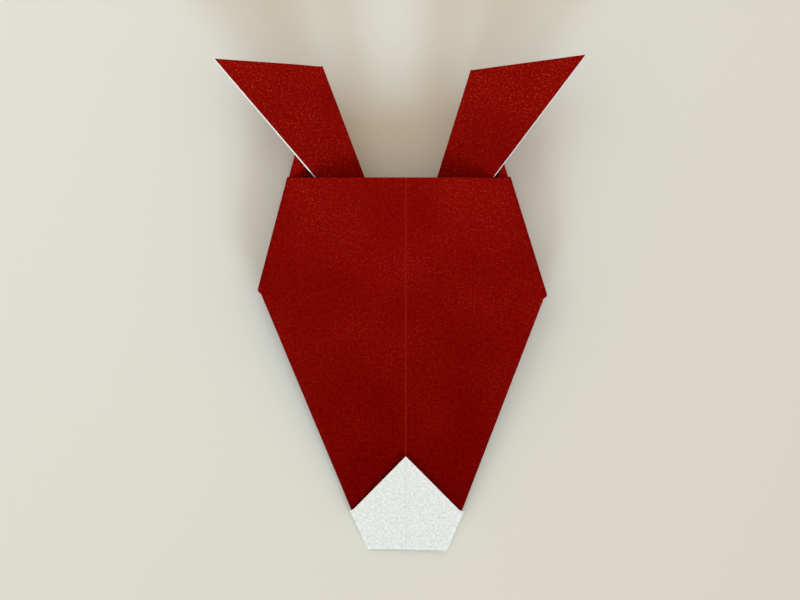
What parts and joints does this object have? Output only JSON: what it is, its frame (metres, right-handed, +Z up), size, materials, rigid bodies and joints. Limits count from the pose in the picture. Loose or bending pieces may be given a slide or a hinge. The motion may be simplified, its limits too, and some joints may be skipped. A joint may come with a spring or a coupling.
{
  "type": "origami horse face",
  "caption": "Horse face folded from a square of red and white paper: red face and ears, white nose, layered flaps springing open behind, lying face up as a decoration.",
  "frame": {"origin": "middle of the bounding box, on the table plane that the folded sheet lies on", "axes": "+Y from the nose towards the ears, +X towards the right ear as seen from above, +Z up, out of the front of the face"},
  "size_m": [0.0854, 0.1128, 0.0163],
  "materials": {
    "paper": "matte, dyed red on one side and white on the other"
  },
  "bodies": {
    "root": {"folded_sheet": "paper"}
  },
  "joints": []
}
